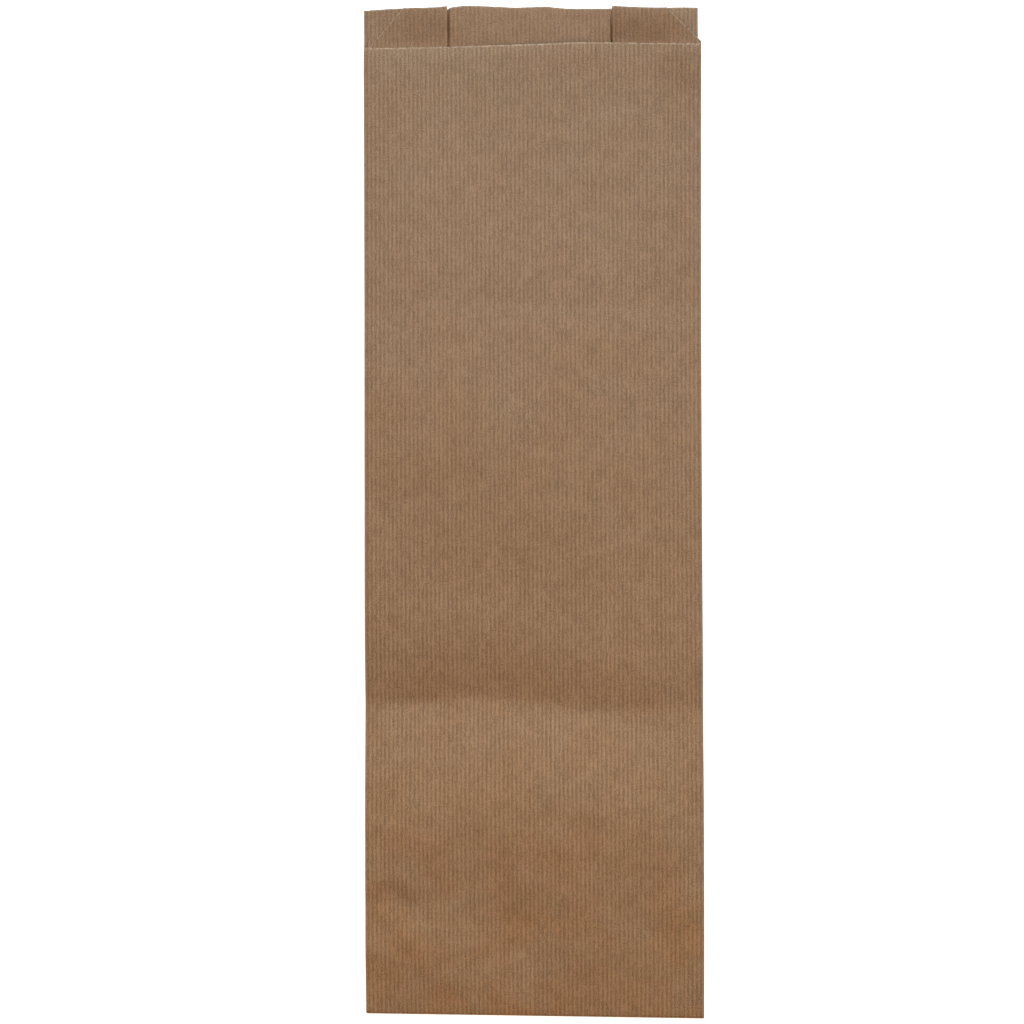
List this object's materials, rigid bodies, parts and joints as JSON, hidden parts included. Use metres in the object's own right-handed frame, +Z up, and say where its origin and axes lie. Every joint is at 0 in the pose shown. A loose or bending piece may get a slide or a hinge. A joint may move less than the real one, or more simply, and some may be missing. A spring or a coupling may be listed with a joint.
{
  "type": "flat paper bag",
  "caption": "Brown ribbed kraft paper lunch bag, flat with side gussets, a lap seam down its back and a glued turned-up bottom, open at the top.",
  "frame": {"origin": "middle of the bag's box in plan, on the table it lies on", "axes": "+X across the bag, +Y along it towards the open mouth, +Z up, out of the front panel"},
  "size_m": [0.12, 0.36, 0.0075],
  "materials": {
    "kraft_paper": "matt, ribbed"
  },
  "bodies": {
    "root": {"paper_bag": "kraft_paper"}
  },
  "joints": []
}
